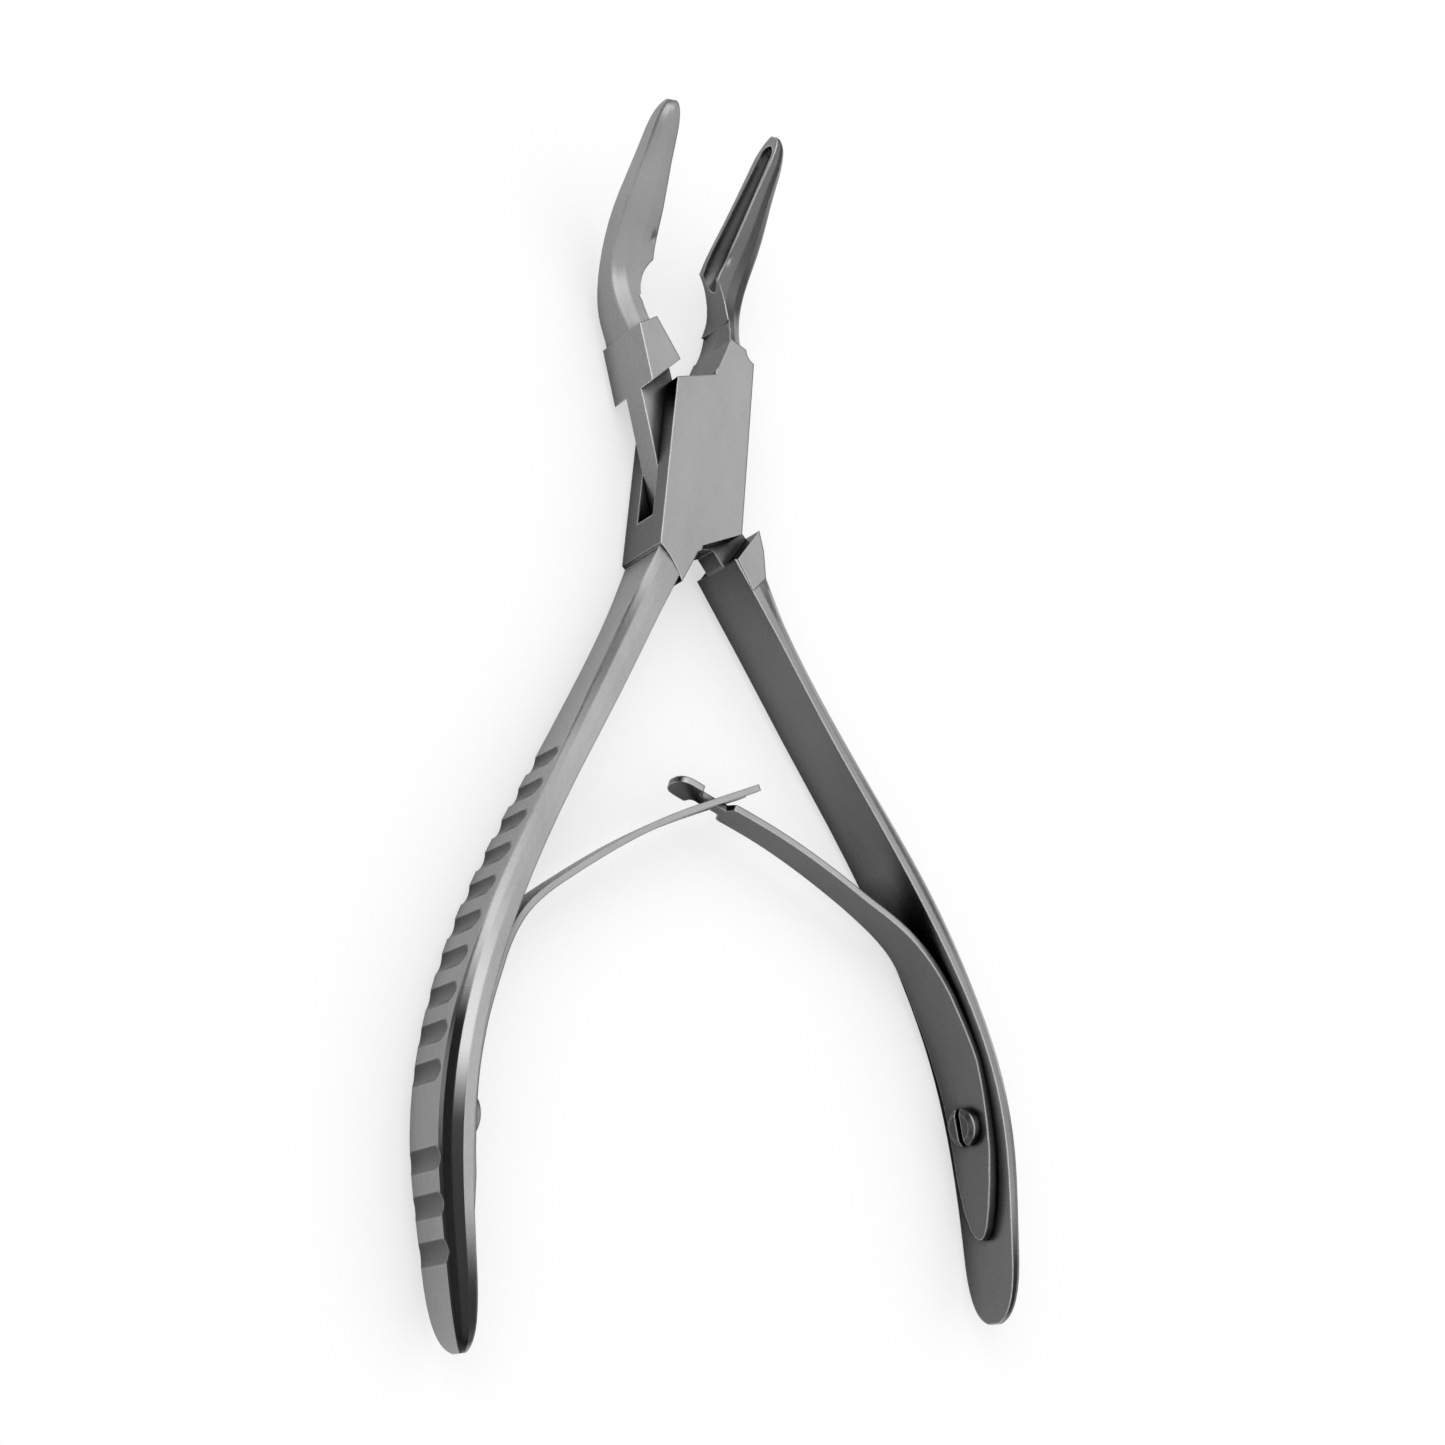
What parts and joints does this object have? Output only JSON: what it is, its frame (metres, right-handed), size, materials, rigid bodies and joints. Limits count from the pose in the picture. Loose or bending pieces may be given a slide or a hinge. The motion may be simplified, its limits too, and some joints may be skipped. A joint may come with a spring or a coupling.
{
  "type": "bone rongeur",
  "caption": "Bone rongeur with a box joint, forward-angled cupped jaws, bowed grooved handles and a double leaf spring linked by a fork and a T-shaped end.",
  "frame": {"origin": "on the rear face of the box, under the pivot", "axes": "+Y from the pivot towards the jaws, +X to the right seen from the front, +Z to the front, along the pivot"},
  "size_m": [0.074, 0.137, 0.0178],
  "materials": {
    "lever_steel": "satin ground stainless steel",
    "pin_steel": "satin stainless steel, ground flush",
    "spring_steel": "polished spring steel",
    "screw_steel": "turned stainless steel"
  },
  "bodies": {
    "box_side": {"box_lever": "lever_steel", "pivot_pin": "pin_steel", "forked_spring": "spring_steel", "left_spring_screw": "screw_steel"},
    "tongue_side": {"tongue_lever": "lever_steel", "t_head_spring": "spring_steel", "right_spring_screw": "screw_steel"}
  },
  "joints": [
    {"name": "pivot", "type": "hinge", "parent": "box_side", "child": "tongue_side", "pos_m": [0, 0, 0.00385], "axis": [0, 0, 1], "range_deg": [-19.4, 3], "stiffness_Nm_per_rad": 0.5, "deforming": ["forked_spring", "t_head_spring"]}
  ]
}
